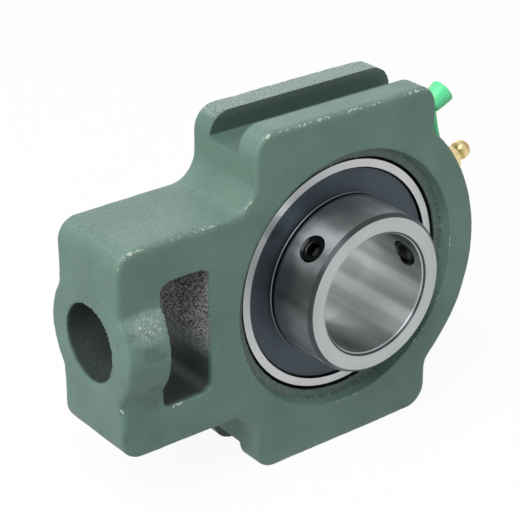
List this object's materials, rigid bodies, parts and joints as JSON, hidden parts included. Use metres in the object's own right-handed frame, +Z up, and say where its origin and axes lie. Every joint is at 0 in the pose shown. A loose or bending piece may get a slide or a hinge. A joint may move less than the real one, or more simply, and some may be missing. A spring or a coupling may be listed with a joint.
{
  "type": "take-up bearing unit",
  "caption": "Cast take-up bearing housing with guide grooves, screw nose and nut window, holding a self-aligning ball bearing insert with set screws, seals and a grease nipple.",
  "frame": {"origin": "centre of the bearing's spherical seat, on the shaft axis", "axes": "+Y along the shaft axis from the set screw side to the rear, +X away from the screw nose, +Z up"},
  "size_m": [0.1338, 0.0438, 0.102],
  "materials": {
    "enamelled_cast_iron": "satin grey-green enamel over sand-cast iron",
    "ground_steel": "ground",
    "polished_steel": "polished",
    "slinger_steel": "dark blued sheet",
    "cage_steel": "pressed sheet",
    "black_oxide_steel": "black oxide",
    "seal_rubber": "matte",
    "nipple_brass": "yellow zinc",
    "cap_plastic": "bright moulded"
  },
  "bodies": {
    "housing": {"housing": "enamelled_cast_iron", "grease_nipple": "nipple_brass", "check_spring": "cage_steel"},
    "outer_ring": {"outer_ring": "ground_steel", "seal_front": "seal_rubber", "seal_rear": "seal_rubber"},
    "inner_ring": {"inner_ring": "polished_steel", "slinger_front": "slinger_steel", "slinger_rear": "slinger_steel"},
    "cage": {"cage_front": "cage_steel", "cage_rear": "cage_steel", "cage_rivets": "cage_steel", "ball_1": "polished_steel", "ball_2": "polished_steel", "ball_3": "polished_steel", "ball_4": "polished_steel", "ball_5": "polished_steel", "ball_6": "polished_steel", "ball_7": "polished_steel", "ball_8": "polished_steel", "ball_9": "polished_steel"},
    "set_screw_1": {"set_screw_1": "black_oxide_steel"},
    "set_screw_2": {"set_screw_2": "black_oxide_steel"},
    "check_ball": {"check_ball": "polished_steel"},
    "nipple_cap": {"nipple_cap": "cap_plastic"}
  },
  "joints": [
    {"name": "self_align", "type": "hinge", "parent": "housing", "child": "outer_ring", "pos_m": [0, 0, 0], "axis": [0, 0, 1], "range_deg": [-2, 2]},
    {"name": "shaft_spin", "type": "hinge", "parent": "outer_ring", "child": "inner_ring", "pos_m": [0, 0, 0], "axis": [0, 1, 0], "continuous": true},
    {"name": "cage_spin", "type": "hinge", "parent": "outer_ring", "child": "cage", "pos_m": [0, 0, 0], "axis": [0, 1, 0], "continuous": true},
    {"name": "set_screw_1_travel", "type": "slide", "parent": "inner_ring", "child": "set_screw_1", "axis": [-0.7193, 0, 0.6947], "range_m": [-0.002, 0.006]},
    {"name": "set_screw_2_travel", "type": "slide", "parent": "inner_ring", "child": "set_screw_2", "axis": [0.9613, 0, 0.2756], "range_m": [-0.002, 0.006]},
    {"name": "check_ball_travel", "type": "slide", "parent": "housing", "child": "check_ball", "axis": [0.9367, 0, 0.3502], "range_m": [-0.001, 0], "stiffness_N_per_m": 50, "springref_m": 0.001, "deforming": ["check_spring"]},
    {"name": "cap_swivel", "type": "hinge", "parent": "housing", "child": "nipple_cap", "pos_m": [0, 0, 0], "axis": [0.9367, 0, 0.3502], "continuous": true}
  ],
  "couplings": [
    {"joint": "cage_spin", "follows": "shaft_spin", "ratio": 0.3962}
  ]
}
